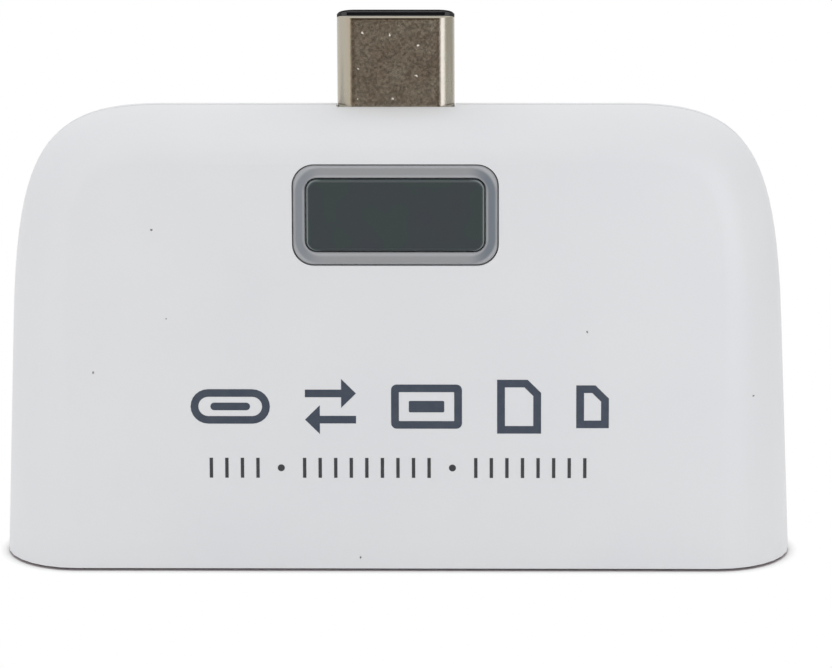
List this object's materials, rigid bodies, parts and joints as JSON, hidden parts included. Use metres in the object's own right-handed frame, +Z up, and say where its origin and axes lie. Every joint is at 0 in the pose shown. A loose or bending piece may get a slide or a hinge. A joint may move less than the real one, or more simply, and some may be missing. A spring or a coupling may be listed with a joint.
{
  "type": "usb memory card reader",
  "caption": "Wedge-shaped card reader with a flat plug on top, a dark window on the front, and a host port and card slots in its base.",
  "frame": {"origin": "centre of the base, on the surface it stands on", "axes": "+Z up along the plug, +X across the wide front, -Y out of the front with the window"},
  "size_m": [0.056, 0.0104, 0.0392],
  "materials": {
    "housing": "fine satin white ABS",
    "bezel": "grey translucent plastic",
    "lens": "dark smoked panel",
    "plug_metal": "nickel plated, slightly grainy",
    "black_plastic": "moulded black",
    "contact_metal": "gold plated",
    "board": "green solder mask",
    "chip": "moulded epoxy",
    "led": "clear resin",
    "ceramic_body": "fired ceramic"
  },
  "bodies": {
    "root": {"front_shell": "housing", "rear_shell": "housing", "window_bezel": "bezel", "window_lens": "lens", "plug_shell": "plug_metal", "plug_insulator": "black_plastic", "plug_contacts_front": "contact_metal", "plug_contacts_rear": "contact_metal", "plug_latch": "plug_metal", "circuit_board": "board", "port_shell": "plug_metal", "port_tongue": "black_plastic", "port_contacts": "contact_metal", "card_slot_base": "black_plastic", "card_slot_cover": "plug_metal", "card_slot_contacts": "contact_metal", "small_card_base": "black_plastic", "small_card_cover": "plug_metal", "small_card_contacts": "contact_metal", "controller_chip": "chip", "hub_chip": "chip", "voltage_regulator": "chip", "crystal": "plug_metal", "indicator_led": "led", "capacitors": "ceramic_body", "resistors": "chip"}
  },
  "joints": []
}
